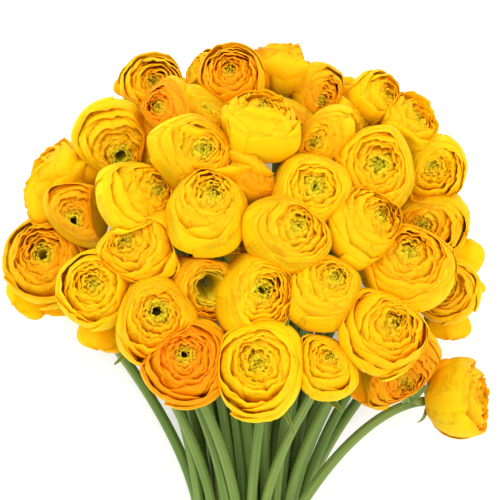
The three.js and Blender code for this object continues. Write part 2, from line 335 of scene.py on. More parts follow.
def flat_press(spot, outward):
    """A flat press at a spot, pushing back along outward."""
    return spot + outward * FLAT_BALL, FLAT_BALL, False


def presses_on(bloom):
    """Each press as a ball: its centre, its radius, and whether the bloom has to stay inside."""
    middle, foot, radius = bloom["middle"], bloom["foot"], bloom["radius"] * BLOOM_FULLNESS
    reach_out = math.hypot(radius, HALF_HEIGHT)
    found = [flat_press(np.array([*middle[:2], TABLE_CLEAR]), np.array([0.0, 0.0, -1.0]))]
    for other in blooms:
        if other is bloom or np.linalg.norm(other["middle"] - middle) > 3 * reach_out:
            continue
        here, there = closest_points(foot, middle, other["foot"], other["middle"])
        gap = np.linalg.norm(there - here)
        outward = (there - here) / gap
        share = (gap**2 + bloom["radius"] ** 2 - other["radius"] ** 2) / (2 * gap**2)
        reach = gap * min(max(share, FAIR_SHARE[0]), FAIR_SHARE[1])
        if reach > reach_out:
            continue
        above = middle[2] > other["middle"][2]
        ball = PRESS_ROUNDNESS * (bloom if above else other)["radius"]
        reach += PRESS_SLACK + (UPPER_SHARE if above else -UPPER_SHARE)
        found.append((here + outward * (reach - ball if above else reach + ball), ball, above))
    for other in blooms:
        if other is bloom:
            continue
        near = np.linalg.norm(other["stem"] - middle, axis=1) < reach_out + STEM_NEAR
        for step in np.flatnonzero(near[:-1]):
            here, there = closest_points(foot, middle, other["stem"][step], other["stem"][step + 1])
            gap = np.linalg.norm(there - here)
            reach = gap - STEM_WIDTH / 2
            if reach < reach_out:
                outward = (there - here) / gap
                found.append(flat_press(here + outward * max(reach, CORE), outward))
    return found


for bloom in blooms:
    bloom["presses"] = presses_on(bloom)
print("presses", sum(len(bloom["presses"]) for bloom in blooms))

# %% [markdown]
# ## Writing rules as formulas
# A petal is a small grid that a formula bends into place. Geometry Nodes can work the formula out for
# every point of every petal, but wires of Math nodes are hard to read. This helper lets the script write the
# formula as in school, and lays the nodes by itself.


# %% A number inside a node tree
class Amount:
    """A number that a node tree works out point by point."""

    def __init__(self, tree, socket):
        self.tree, self.socket = tree, socket

    def _sum(self, operation, *values):
        node = self.tree.nodes.new("ShaderNodeMath")
        node.operation = operation
        for inlet, value in zip(node.inputs, values):
            plug(self.tree, value, inlet)
        return Amount(self.tree, node.outputs[0])

    def __add__(self, other):
        return self._sum("ADD", self, other)

    def __radd__(self, other):
        return self._sum("ADD", other, self)

    def __sub__(self, other):
        return self._sum("SUBTRACT", self, other)

    def __rsub__(self, other):
        return self._sum("SUBTRACT", other, self)

    def __mul__(self, other):
        return self._sum("MULTIPLY", self, other)

    def __rmul__(self, other):
        return self._sum("MULTIPLY", other, self)

    def __truediv__(self, other):
        return self._sum("DIVIDE", self, other)

    def __pow__(self, other):
        return self._sum("POWER", self, other)

    def sine(self):
        return self._sum("SINE", self)

    def cosine(self):
        return self._sum("COSINE", self)

    def size(self):
        return self._sum("ABSOLUTE", self)

    def least(self, other):
        return self._sum("MINIMUM", self, other)

    def most(self, other):
        return self._sum("MAXIMUM", self, other)


print("formulas ready")


# %% Wire nodes
def plug(tree, value, inlet):
    """Feeds a number, a worked-out amount or a socket into an inlet."""
    if isinstance(value, Amount):
        tree.links.new(value.socket, inlet)
    elif isinstance(value, bpy.types.NodeSocket):
        tree.links.new(value, inlet)
    else:
        inlet.default_value = value


def named(sockets, name):
    """The socket of that name that is in use."""
    return next(socket for socket in sockets if socket.name == name and socket.enabled)


def put(tree, kind, settings=None, **values):
    """Adds a node, sets it up, and feeds its inlets by name (with _ for each space)."""
    node = tree.nodes.new(kind)
    for setting, choice in (settings or {}).items():
        setattr(node, setting, choice)
    for name, value in values.items():
        plug(tree, value, named(node.inputs, name.replace("_", " ")))
    return node


def mix(low, high, share):
    return low + (high - low) * share


def smooth(tree, value, start, end):
    """0 up to start, 1 from end on, and a smooth rise between."""
    node = tree.nodes.new("ShaderNodeMapRange")
    node.interpolation_type = "SMOOTHSTEP"
    for name, fed in (("Value", value), ("From Min", start), ("From Max", end)):
        plug(tree, fed, named(node.inputs, name))
    return Amount(tree, named(node.outputs, "Result"))


def vector(tree, x, y, z):
    node = tree.nodes.new("ShaderNodeCombineXYZ")
    for inlet, value in zip(node.inputs, (x, y, z)):
        plug(tree, value, inlet)
    return node.outputs[0]


def read(tree, name):
    """A number kept on the points under a name."""
    node = put(tree, "GeometryNodeInputNamedAttribute", {"data_type": "FLOAT"}, Name=name)
    return Amount(tree, named(node.outputs, "Attribute"))


def keep(tree, geometry, name, value, domain="POINT"):
    """Keeps a number on the points under a name, and gives the geometry on."""
    settings = {"data_type": "FLOAT", "domain": domain}
    return put(
        tree, "GeometryNodeStoreNamedAttribute", settings, Geometry=geometry, Name=name, Value=value,
    ).outputs[0]


def move(tree, geometry, spot):
    """Puts every point at its worked-out spot."""
    return put(tree, "GeometryNodeSetPosition", None, Geometry=geometry, Position=spot).outputs[0]


def chance(tree, low, high, which, seed):
    """One seeded random number for each value of which."""
    node = put(
        tree, "FunctionNodeRandomValue", {"data_type": "FLOAT"}, Min=low, Max=high, ID=which, Seed=seed,
    )
    return Amount(tree, named(node.outputs, "Value"))


def drift(tree, place, scale, detail=1.0):
    """A slow wander between about -1 and 1."""
    node = put(tree, "ShaderNodeTexNoise", None, Vector=place, Scale=scale, Detail=detail)
    return (Amount(tree, node.outputs[0]) - 0.5) * 2.0


print("wiring ready")


# %% Start, end and run a tree
def new_tree(name, inputs):
    """A tree with named inputs, and each input as an amount."""
    tree = bpy.data.node_groups.new(name, "GeometryNodeTree")
    tree.interface.new_socket("Geometry", in_out="INPUT", socket_type="NodeSocketGeometry")
    tree.interface.new_socket("Geometry", in_out="OUTPUT", socket_type="NodeSocketGeometry")
    for label, kind, value in inputs:
        tree.interface.new_socket(
            label, in_out="INPUT", socket_type="NodeSocket" + kind,
        ).default_value = value
    start = tree.nodes.new("NodeGroupInput")
    return tree, {socket.name: Amount(tree, socket) for socket in start.outputs if socket.name}


def finish_tree(tree, geometry, material):
    """Ends a tree in Realize Instances, smooth shading and Set Material."""
    whole = put(tree, "GeometryNodeRealizeInstances", None, Geometry=geometry).outputs[0]
    smoothed = put(tree, "GeometryNodeSetShadeSmooth", None, Geometry=whole).outputs[0]
    dressed = put(tree, "GeometryNodeSetMaterial", None, Geometry=smoothed)
    dressed.inputs["Material"].default_value = material
    end = tree.nodes.new("NodeGroupOutput")
    tree.links.new(dressed.outputs[0], end.inputs[0])


def plain_mesh(thing):
    """The mesh of an object with its modifiers worked out."""
    graph = bpy.context.evaluated_depsgraph_get()
    return bpy.data.meshes.new_from_object(
        thing.evaluated_get(graph), preserve_all_data_layers=True, depsgraph=graph,
    )


def grow(tree, values, start=None):
    """Runs a tree with the given inputs, and gives the result as a plain mesh."""
    seedling = bpy.data.objects.new("seedling", start or bpy.data.meshes.new("seedling"))
    scene.collection.objects.link(seedling)
    modifier = seedling.modifiers.new("grow", "NODES")
    modifier.node_group = tree
    places = {item.name: item.identifier for item in tree.interface.items_tree if item.in_out == "INPUT"}
    for label, value in values.items():
        modifier[places[label]] = value
    mesh = plain_mesh(seedling)
    bpy.data.objects.remove(seedling)
    return mesh


print("trees ready")

# %% [markdown]
# ## One grain for all finishes
# Veins in a petal, ribs in a leaf, streaks in a stem and fibres in twine are alike: fine, uneven lines along
# the way that the thing grew. Painted maps would need unwrapping, so one group makes noise instead, and each
# finish stretches it along its own growth. It gives a height for the light and a mask for the colour.

# %% Colours and masks in a material
def look(material, name):
    """A number carried by the mesh, for a material."""
    node = material.node_tree.nodes.new("ShaderNodeAttribute")
    node.attribute_name = name
    return Amount(material.node_tree, node.outputs["Fac"])


def tint(tree, first, second, share):
    """One colour over another by a share."""
    node = tree.nodes.new("ShaderNodeMix")
    node.data_type = "RGBA"
    plug(tree, share, named(node.inputs, "Factor"))
    for name, colour in (("A", first), ("B", second)):
        inlet = named(node.inputs, name)
        if isinstance(colour, tuple):
            inlet.default_value = (*colour, 1)
        else:
            tree.links.new(colour, inlet)
    return named(node.outputs, "Result")


print("material helpers ready")


# %% The shared grain
def grain_group():
    """The grain that every finish here has: noise along the place it is given, as a height and as a mask."""
    group = bpy.data.node_groups.new("natural_grain", "ShaderNodeTree")
    group.interface.new_socket("Place", in_out="INPUT", socket_type="NodeSocketVector")
    for label, value in (("Scale", 3.0), ("Detail", 3.0), ("Mask From", 0.4), ("Mask To", 0.7)):
        group.interface.new_socket(label, in_out="INPUT", socket_type="NodeSocketFloat").default_value = value
    for label in ("Height", "Mask"):
        group.interface.new_socket(label, in_out="OUTPUT", socket_type="NodeSocketFloat")
    given, end = group.nodes.new("NodeGroupInput").outputs, group.nodes.new("NodeGroupOutput")
    noise = put(
        group, "ShaderNodeTexNoise", None, Vector=given["Place"], Scale=given["Scale"],
        Detail=given["Detail"],
    )
    height = Amount(group, noise.outputs["Fac"])
    plug(group, height, end.inputs["Height"])
    plug(group, smooth(group, height, given["Mask From"], given["Mask To"]), end.inputs["Mask"])
    return group


GRAIN = grain_group()


def grain(tree, place, scale, mask_from, mask_to, detail=3.0):
    """Places the grain in a material, and gives its height and its mask."""
    node = tree.nodes.new("ShaderNodeGroup")
    node.node_tree = GRAIN
    values = {"Place": place, "Scale": scale, "Detail": detail, "Mask From": mask_from, "Mask To": mask_to}
    for label, value in values.items():
        plug(tree, value, node.inputs[label])
    return Amount(tree, node.outputs["Height"]), Amount(tree, node.outputs["Mask"])


def relief(tree, shader, height, strength, depth):
    """Lets a height catch the light."""
    bump = tree.nodes.new("ShaderNodeBump")
    bump.inputs["Strength"].default_value = strength
    bump.inputs["Distance"].default_value = depth
    plug(tree, height, bump.inputs["Height"])
    tree.links.new(bump.outputs[0], shader.inputs["Normal"])


print("grain nodes", len(GRAIN.nodes))

# %% [markdown]
# ## What a petal looks like
# The petal of a yellow ranunculus is waxy and thin: a deep clear yellow with fine veins from base to rim, a
# rim that ripens to orange on some flowers, and a yellow-green tint in the young petals of the heart. Light
# goes from petal to petal and turns orange in the folds. The renderer does some of this, because the petals
# let so little blue through, and the rest is painted shade: the parts of petals that lie under others are
# painted orange. The colours read values that the petals carry: their share from heart to outside, and how
# far along and across the petal a point lies.

# %% Petal material
PETAL_YELLOW = (0.98, 0.54, 0.0008)
PETAL_LEMON = (0.98, 0.70, 0.004)
PETAL_ORANGE = (0.95, 0.22, 0.002)
PETAL_GOLD = (0.97, 0.41, 0.0008)
# Painted shade: the deep orange that petals take on in the folds, painted where they lie under other petals.
FOLD_SHADE_ORANGE = (1.0, 0.30, 0.0005)
HEART_GREEN = (0.80, 0.66, 0.018)


def petal_material():
    material = bpy.data.materials.new("ranunculus_petal")
    material.use_nodes = True
    tree = material.node_tree
    shader = tree.nodes["Principled BSDF"]
    share, along, across = look(material, "share"), look(material, "along"), look(material, "across")
    warmth, tone, green = look(material, "warmth"), look(material, "tone"), look(material, "green")

    veins, veined = grain(tree, vector(tree, across * 9.0, along * 1.3, share * 37.0), 3.0, 0.48, 0.66)
    blotch, blotched = grain(
        tree, vector(tree, across * 1.2, along * 1.6, share * 23.0), 2.0, 0.45, 0.80, detail=2.0,
    )

    colour = tint(tree, PETAL_YELLOW, PETAL_LEMON, tone * 0.75)
    colour = tint(tree, colour, PETAL_GOLD, blotched * 0.35)
    rim = smooth(tree, along, 0.80, 1.0)
    colour = tint(tree, colour, PETAL_GOLD, rim * 0.60)
    ripe = (warmth * (0.35 + rim * 0.5 + blotch * 0.3)).least(1.0)
    colour = tint(tree, colour, PETAL_ORANGE, ripe)
    # Painted shade: low on a petal and inside the outer petals it lies in shade, so it is painted orange,
    # less so in a green heart.
    fold_shade = (1.0 - smooth(tree, along, 0.66, 0.96)) * (1.0 - smooth(tree, share, 0.78, 0.95))
    young = ((1.0 - smooth(tree, share, 0.06, 0.46)) * green).least(1.0)
    colour = tint(tree, colour, FOLD_SHADE_ORANGE, fold_shade * (0.95 - young * 0.55))
    colour = tint(tree, colour, PETAL_GOLD, (1.0 - smooth(tree, along, 0.25, 0.6)) * 0.7)
    colour = tint(tree, colour, HEART_GREEN, young)
    colour = tint(tree, colour, PETAL_GOLD, veined * 0.20)
    tree.links.new(colour, shader.inputs["Base Color"])

    relief(tree, shader, veins, 0.35, 0.4 * MM)
    plug(tree, 0.50 + veins * 0.2, shader.inputs["Roughness"])
    shader.inputs["Specular IOR Level"].default_value = 0.09
    shader.inputs["Subsurface Weight"].default_value = 0.40
    shader.inputs["Subsurface Radius"].default_value = (1.0, 0.40, 0.06)
    shader.inputs["Subsurface Scale"].default_value = 3.5 * MM
    return material


PETAL = petal_material()
print("petal nodes", len(PETAL.node_tree.nodes))

# %% [markdown]
# ## The rule of a ranunculus
# Petals stand in a spiral: each is turned by the golden angle from the one before, and wraps a shell a
# little wider. A petal runs up from the receptacle, bulges to its shell, and leans in at the rim. Young
# petals in the heart are short and tight; old ones outside are broad and may fall open. The rims ripple, and
# neighbours share the ripple, because they grew against each other.

# %% Bloom tree
GOLDEN_ANGLE = math.pi * (3 - math.sqrt(5))
# Of the youngest petal in the heart, and of the oldest outside:
SHELLS = (0.16, 0.95)           # how wide a shell it wraps, as a share of the bloom's radius
HALF_TURNS = (1.75, 1.12)       # how far it reaches round to each side, in radians
OUTER_RIM = 0.86                # where the oldest petal's rim leans in to
# Out from the axis by shares of the shell, and up by shares of the half height, a petal is drawn towards:
RECEPTACLE = (0.05, -0.90)      # (this one by a share of the radius)
BELLY = (1.06, -1.02)
SHOULDER = (1.34, 0.50)


def bloom_tree():
    tree, given = new_tree(
        "ranunculus_bloom",
        [
            ("Petals", "Int", 32),
            ("Radius", "Float", 28 * MM),
            ("Half Height", "Float", HALF_HEIGHT),
            ("Opening", "Float", 0.05),
            ("Looseness", "Float", 0.2),
            ("Ripple", "Float", 0.05),
            ("Cup", "Float", 0.3),
            ("Heart Side", "Float", 0.0),
            ("Heart Ahead", "Float", 0.0),
            ("Warmth", "Float", 0.0),
            ("Green", "Float", 0.8),
            ("Columns", "Int", 19),
            ("Rows", "Int", 10),
            ("Seed", "Int", 1),
        ],
    )
    radius, half_height, seed = given["Radius"], given["Half Height"], given["Seed"]

    spots = put(tree, "GeometryNodePoints", None, Count=given["Petals"]).outputs[0]
    index = Amount(tree, tree.nodes.new("GeometryNodeInputIndex").outputs[0])
    spots = keep(tree, spots, "petal", index)
    columns, rows = given["Columns"], given["Rows"]
    grid = put(
        tree, "GeometryNodeMeshGrid", None, Size_X=2.0, Size_Y=1.0, Vertices_X=columns, Vertices_Y=rows,
    )
    petals = put(
        tree, "GeometryNodeInstanceOnPoints", None, Points=spots, Instance=grid.outputs[0],
    ).outputs[0]
    petals = put(tree, "GeometryNodeRealizeInstances", None, Geometry=petals).outputs[0]
    place = put(
        tree, "ShaderNodeSeparateXYZ", None, Vector=tree.nodes.new("GeometryNodeInputPosition").outputs[0],
    )
    petals = keep(tree, petals, "across", Amount(tree, place.outputs[0]))
    # Rows lie closer together towards the rim, where a petal bends most.
    petals = keep(tree, petals, "along", 1.0 - (0.5 - Amount(tree, place.outputs[1])).most(0.0) ** 1.3)

    petal, across, raw_along = read(tree, "petal"), read(tree, "across"), read(tree, "along")
    share = petal / (given["Petals"] - 1.0)
    petals = keep(tree, petals, "share", share)
    petals = keep(tree, petals, "tone", chance(tree, 0.0, 1.0, petal, seed + 11.0))
    petals = keep(tree, petals, "warmth", given["Warmth"])
    petals = keep(tree, petals, "green", given["Green"])

    # The petal's own outline has rounded shoulders.
    shoulder = 0.20 * across.size() ** 3.5
    along = raw_along * (1.0 - shoulder)

    turn = petal * GOLDEN_ANGLE + chance(tree, -0.3, 0.3, petal, seed + 1.0)
    half_width = mix(*HALF_TURNS, share) * chance(tree, 0.85, 1.15, petal, seed + 2.0)
    angle = turn + across * half_width
    side, ahead = angle.cosine(), angle.sine()

    # Neighbouring shells share the same slow waves.
    wave = drift(tree, vector(tree, side * 1.5, ahead * 1.5, share * 1.6 + seed * 3.7), 1.6, 2.0)
    crinkle = drift(tree, vector(tree, side * 5.0, ahead * 5.0, share * 6.0 + seed * 5.1), 1.9, 2.0)
    lift = drift(tree, vector(tree, side * 1.2, ahead * 1.2, share * 5.0 + seed * 2.3), 1.5, 1.0)

    shell = radius * mix(*SHELLS, share**0.85)
    fallen = smooth(tree, share, 0.78, 1.0) * given["Looseness"] * chance(tree, 0.2, 1.0, petal, seed + 3.0)
    lean = chance(tree, -0.09, 0.06, petal, seed + 4.0) * mix(0.4, 1.3, share)
    # Outer petals stand away from the globe: some fall outwards, and some rise in a collar.
    collar = smooth(tree, share, 0.66, 0.85) * chance(tree, -0.10, 0.18, petal, seed + 6.0)
    leant_in = mix(given["Opening"], OUTER_RIM, share**1.28) + lean
    rim = radius * (leant_in + fallen * 0.35 + collar.most(0.0) * 0.35)
    face = mix(1.0 - given["Cup"], 0.92, smooth(tree, share, 0.0, 0.6))
    face = face - 0.10 * smooth(tree, share, 0.75, 1.0) + chance(tree, -0.07, 0.07, petal, seed + 5.0)
    rim_height = half_height * (face + collar - fallen * 0.5)

    rest = 1.0 - along
    first, second, third, fourth = rest**3.0, 3.0 * rest**2.0 * along, 3.0 * rest * along**2.0, along**3.0
    shoulder_out = shell * SHOULDER[0] + fallen * radius * 0.25
    out = first * (radius * RECEPTACLE[0]) + second * (shell * BELLY[0]) + third * shoulder_out + fourth * rim
    up = first * (half_height * RECEPTACLE[1]) + second * (half_height * BELLY[1])
    up = up + third * (half_height * SHOULDER[1]) + fourth * rim_height

    spread = along**4.0 * mix(0.45, 1.0, smooth(tree, share, 0.0, 0.3))
    fine = crinkle * (1.0 - 0.4 * share)
    out = out + radius * given["Ripple"] * spread * (wave * 1.9 + fine * 1.3)
    up = up + half_height * given["Ripple"] * spread * (lift * 2.8 + fine * 2.2)
    out = (out * (1.0 - 0.035 * across)).most(0.2 * MM)

    # The heart looks for the light: it stands aside, and the outer petals stay where they are.
    drawn = radius * (1.0 - share) ** 0.5 * along**1.5
    spot = vector(
        tree, out * side + drawn * given["Heart Side"], out * ahead + drawn * given["Heart Ahead"], up,
    )
    petals = keep(tree, move(tree, petals, spot), "along", along)
    finish_tree(tree, petals, PETAL)
    return tree


BLOOM_TREE = bloom_tree()
print("bloom tree nodes", len(BLOOM_TREE.nodes))

# %% [markdown]
# ## Fifty different flowers
# No two flowers in a bunch are alike. Some are older and have opened, some blush orange, some still keep a
# green heart, and a few show a dark hole where the petals haven't closed over the seed head. Only what
# stands out is listed; every other flower takes the plain values.

# %% What sets each flower apart
BLUSH = {
    2: 0.6, 3: 0.45, 4: 0.45, 5: 0.75, 6: 0.15, 8: 0.3, 10: 0.15, 14: 0.5, 15: 0.4, 18: 0.35, 19: 0.9,
    23: 0.7, 33: 0.3, 35: 0.3, 36: 0.25, 37: 0.6, 39: 0.35, 40: 0.5, 45: 0.4, 48: 0.5, 50: 0.3,
}
GREEN_HEART = {
    6: 1.0, 7: 0.95, 14: 0.8, 15: 0.8, 16: 0.6, 18: 0.8, 22: 0.5, 23: 0.5, 26: 1.0, 27: 1.0, 32: 0.9, 36: 0.9,
}
HOLE = {6: 0.13, 14: 0.13, 15: 0.14, 18: 0.10, 19: 0.09, 36: 0.12, 38: 0.08, 39: 0.36}
FALLEN_OPEN = {1: 0.8, 4: 0.6, 10: 0.3, 13: 0.3, 15: 0.9, 17: 0.7, 32: 0.6, 36: 0.9, 42: 0.8, 50: 0.4}

# Where a heart shows from above, to the side and ahead of the bloom's middle, as shares of its radius.
HEART_SHOWS = {
    1: (0.0, 0.27), 2: (-0.05, 0.3), 4: (0.3, -0.2), 5: (-0.3, 0.15), 6: (0.12, -0.35), 7: (0.22, 0.02),
    8: (0.25, 0.3), 11: (-0.2, 0.15), 12: (0.55, 0.32), 13: (0.12, 0.45), 14: (-0.1, -0.15),
    15: (-0.12, 0.22), 16: (-0.25, 0.0), 17: (-0.13, 0.2), 18: (0.02, 0.1), 19: (-0.05, 0.12),
    20: (-0.08, 0.08), 21: (0.1, 0.38), 22: (0.25, 0.2), 23: (0.2, -0.45), 24: (0.24, 0.36),
    25: (0.24, 0.2), 26: (0.06, 0.1), 27: (0.05, 0.14), 28: (-0.2, 0.0), 29: (0.5, -0.12), 30: (0.4, 0.1),
    31: (0.45, 0.2), 32: (0.08, 0.1), 33: (-0.12, -0.2), 34: (0.58, 0.42), 35: (0.06, 0.36),
    36: (-0.1, 0.2), 38: (0.32, 0.02), 40: (0.1, 0.1),
}
# Blooms at the edge have room to themselves, and a few that are half hidden have let go.
FULLNESS = {
    1: 0.95, 2: 0.83, 3: 0.9, 4: 0.95, 5: 1.05, 6: 1.1, 10: 1.0, 14: 1.08, 15: 1.0, 17: 0.99, 18: 1.16,
    19: 1.05, 20: 1.12, 21: 1.03, 22: 1.08, 23: 1.15, 30: 0.95, 31: 1.0, 32: 1.02, 33: 1.05, 36: 0.86,
    37: 1.3, 41: 1.3, 50: 1.0,
}
HEART_LEVEL = 0.7        # how high in the half height a heart lies
HEART_REACH = 0.5        # the furthest that it is drawn aside

PRESS_GIVE = 4 * MM      # how deep the petals near a press feel it
LEAF_CLEAR = 1.2 * MM    # how high over the table a leaf with its wall stays

print("flowers that blush", len(BLUSH), "and that have fallen open", len(FALLEN_OPEN))


# %% Draw a heart aside
def heart_drawn(bloom):
    """How far the heart is drawn across its bloom, as a share of the radius, besides the bloom's own lean."""
    leant = bloom["facing"] * HEART_LEVEL * HALF_HEIGHT / bloom["radius"]
    wanted = HEART_SHOWS.get(bloom["number"])
    drawn = np.array([*wanted, leant[2]]) - leant if wanted else leant * 0.6
    drawn[2] = 0
    return drawn * min(1, HEART_REACH / max(np.linalg.norm(drawn), 1e-6))


def turned_to(facing):
    """The turn that takes +Z to the way a bloom faces."""
    return np.array(Vector((0, 0, 1)).rotation_difference(Vector(facing)).to_matrix())


furthest = max(np.linalg.norm(heart_drawn(bloom)) for bloom in blooms)
print("furthest heart drawn aside by", round(furthest, 2), "of the radius")


# %% Press petals back
def press(points, presses):
    """Points close to a press are eased back behind it, and keep their order."""
    for centre, radius, inside in presses:
        away = points - centre
        distance = np.linalg.norm(away, axis=1)
        over = np.maximum((distance - radius if inside else radius - distance) + PRESS_GIVE, 0)
        moved = over - over / (1 + over / PRESS_GIVE)
        points = points + away / distance[:, None] * (moved * (-1 if inside else 1))[:, None]
    return points


probe = press(np.array([[0.0, 0.0, -10 * MM]]), [flat_press(np.zeros(3), np.array([0.0, 0.0, -1.0]))])
print("a petal 10 mm past a press ends", round(probe[0, 2] / MM, 1), "mm before it")


# %% Add a piece to the bunch
def mesh_points(mesh):
    flat = np.empty(len(mesh.vertices) * 3)
    mesh.vertices.foreach_get("co", flat)
    return flat.reshape(-1, 3)


def place_points(mesh, points):
    mesh.vertices.foreach_set("co", np.ascontiguousarray(points, dtype=np.float32).ravel())
    mesh.update()


def add_piece(name, mesh, slot, *stands_for, thickness=0.0, offset=-1.0):
    """Makes a mesh a piece of the bunch, with a wall if it is a sheet."""
    piece = bpy.data.objects.new(name, mesh)
    scene.collection.objects.link(piece)
    if thickness:
        wall = piece.modifiers.new("wall", "SOLIDIFY")
        wall.thickness = thickness
        wall.offset = offset
        solid = plain_mesh(piece)
        piece.modifiers.clear()
        piece.data = solid
        solid.name = name
    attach(piece, "root")
    if stands_for:
        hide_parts(*stands_for)
    return piece


print("pieces can be added")

# %% Grow the petals
PETAL_WALL = 0.22 * MM
COLUMNS, ROWS = 19, 8
PETALS_SEEN = 54
PETALS_BELOW = 30
UNDER_THE_BUNCH = range(43, 50)
triangles = 0
for bloom in blooms:
    number = bloom["number"]
    turned = turned_to(bloom["facing"])
    bloom["drawn"] = turned.T @ heart_drawn(bloom)
    drawn_side, drawn_ahead, _ = bloom["drawn"]
    mesh = grow(
        BLOOM_TREE,
        {
            "Petals": PETALS_BELOW if number in UNDER_THE_BUNCH else PETALS_SEEN,
            "Radius": bloom["radius"] * FULLNESS.get(number, BLOOM_FULLNESS),
            "Half Height": HALF_HEIGHT,
            "Opening": HOLE.get(number, 0.012),
            "Looseness": FALLEN_OPEN.get(number, 0.75),
            "Ripple": 0.072,
            "Cup": 0.23,
            "Heart Side": drawn_side,
            "Heart Ahead": drawn_ahead,
            "Warmth": BLUSH.get(number, 0.12 + 0.10 * math.sin(number * 2.1)),
            "Green": GREEN_HEART.get(number, 0.75),
            "Columns": COLUMNS,
            "Rows": ROWS,
            "Seed": number,
        },
    )
    points = mesh_points(mesh) @ turned.T + bloom["middle"]
    points = press(points, bloom["presses"])
    points[:, 2] = np.maximum(points[:, 2], TABLE_CLEAR)
    place_points(mesh, points)
    piece = add_piece(
        f"petals_{number:02d}", mesh, "petals", f"bloom_{number:02d}", thickness=PETAL_WALL, offset=0.0,
    )
    triangles += sum(len(face.vertices) - 2 for face in piece.data.polygons)
print("petal triangles", triangles)

# %% [markdown]
# ## Leaves and loose petals
# Sepals, stem leaves and the few petals that have fallen open are all blades: a spine that bends, a width
# that swells and narrows along it, and a hollow across it. One function makes them all.


# %% A blade on a bent spine
def blade(spine, across, widths, hollow, columns=7, ripple=0.0, seed=0.0):
    """A thin curved sheet. Gives its points, faces, and how far along and across it each point lies."""
    rows = len(spine)
    u = np.linspace(-1, 1, columns)
    v = np.linspace(0, 1, rows)
    forward = np.gradient(spine, axis=0)
    forward /= np.linalg.norm(forward, axis=1)[:, None]
    sideways = across - forward * (forward @ across)[:, None]
    sideways /= np.linalg.norm(sideways, axis=1)[:, None]
    up = np.cross(sideways, forward)
    half = widths[:, None] / 2
    broad, fine = np.sin(5.0 * u + 3.1 * seed + 3.0 * v[:, None]), np.sin(11.0 * u + seed)
    waves = ripple * v[:, None] ** 2 * (broad + 0.5 * fine)
    lift = hollow * half * u**2 + waves
    points = spine[:, None] + sideways[:, None] * (half * u)[..., None] + up[:, None] * lift[..., None]
    corner = np.arange((rows - 1) * columns).reshape(rows - 1, columns)[:, :-1].ravel()
    faces = np.stack([corner, corner + 1, corner + columns + 1, corner + columns], axis=1)
    return points.reshape(-1, 3), faces, np.repeat(v, columns), np.tile(u, rows)


def pointed(rows, width, widest=0.4):
    """The widths of a leaf that runs out to a point."""
    v = np.linspace(0, 1, rows)
    return width * np.maximum(0.04, np.sin(np.pi * v ** (math.log(0.5) / math.log(widest)))) ** 0.8


def rounded(rows, width, claw=0.12, widest=0.72):
    """The widths of a petal: a narrow claw, and a broad round end."""
    v = np.linspace(0, 1, rows)
    swelling = claw + (1 - claw) * np.sin(np.pi / 2 * np.minimum(v / widest, 1)) ** 1.3
    round_end = np.sqrt(np.clip(1 - np.clip((v - widest) / 0.285, 0, 1) ** 2, 0, 1))
    return width * np.maximum(0.05, swelling * round_end)


def blades_mesh(name, blades, material, extra=()):
    """Several blades as one mesh, with the numbers that the material reads."""
    starts = np.cumsum([0] + [len(points) for points, *_ in blades])
    mesh = bpy.data.meshes.new(name)
    faces = np.vstack([faces + start for (_, faces, *_), start in zip(blades, starts)])
    mesh.from_pydata(np.vstack([points for points, *_ in blades]).tolist(), [], faces.tolist())
    tones = [np.full(len(points), (0.37 + 0.61 * number) % 1) for number, (points, *_) in enumerate(blades)]
    kept = {
        "along": np.concatenate([along for *_, along, _ in blades]),
        "across": np.concatenate([across for *_, across in blades]),
        "tone": np.concatenate(tones),
    }
    for label, value in extra:
        kept[label] = np.full(starts[-1], value)
    for label, numbers in kept.items():
        mesh.attributes.new(label, "FLOAT", "POINT").data.foreach_set("value", numbers.astype(np.float32))
    mesh.materials.append(material)
    mesh.polygons.foreach_set("use_smooth", [True] * len(mesh.polygons))
    mesh.update()
    return mesh


print("a petal is widest at", round(rounded(101, 1.0).argmax() / 100, 2), "of its length")

# %% Leaf material
LEAF_GREEN = (0.16, 0.27, 0.045)
LEAF_PALE = (0.36, 0.45, 0.13)


def leaf_material():
    material = bpy.data.materials.new("ranunculus_leaf")
    material.use_nodes = True
    tree = material.node_tree
    shader = tree.nodes["Principled BSDF"]
    along, across, tone = look(material, "along"), look(material, "across"), look(material, "tone")
    ribs, ribbed = grain(tree, vector(tree, across * 6.0, along * 1.5, tone * 9.0), 2.0, 0.50, 0.75)
    colour = tint(tree, LEAF_GREEN, LEAF_PALE, smooth(tree, across.size(), 0.55, 1.0) * 0.5 + ribbed * 0.5)
    tree.links.new(colour, shader.inputs["Base Color"])
    relief(tree, shader, ribs, 0.4, 0.3 * MM)
    shader.inputs["Roughness"].default_value = 0.55
    return material


LEAF = leaf_material()
print("leaf material nodes", len(LEAF.node_tree.nodes))

# %% [markdown]
# ## Sepals and seed heads
# Five small green sepals held the bud. Once the flower is open they bend back towards the stem. In the heart
# sits the seed head, a dome of many small carpels in a spiral, which shows where the petals haven't closed.


# %% Seed head tree
def seed_head_tree():
    sizes = [("Width", "Float", 6.5 * MM), ("Height", "Float", 15 * MM), ("Carpel Width", "Float", 1.5 * MM)]
    tree, given = new_tree("seed_head", [("Carpels", "Int", 60), *sizes])
    spots = put(tree, "GeometryNodePoints", None, Count=given["Carpels"]).outputs[0]
    index = Amount(tree, tree.nodes.new("GeometryNodeInputIndex").outputs[0])
    share = (index + 0.5) / given["Carpels"]
    turn = index * GOLDEN_ANGLE
    out = given["Width"] * 0.5 * share**0.5
    up = given["Height"] * (1.0 - share) ** 0.6
    spots = move(tree, spots, vector(tree, out * turn.cosine(), out * turn.sine(), up))
    half = given["Carpel Width"] * 0.5
    carpel = put(tree, "GeometryNodeMeshIcoSphere", None, Radius=half, Subdivisions=1).outputs[0]
    head = put(tree, "GeometryNodeInstanceOnPoints", None, Points=spots, Instance=carpel).outputs[0]
    finish_tree(tree, head, SEED)
    return tree


# The seed head is dark green, and painted nearly black as painted shade, for the shade in the hole where the
# petals haven't closed.
SEED_DARK_AND_SHADE = (0.035, 0.045, 0.008)
SEED_GREEN = (0.16, 0.20, 0.03)


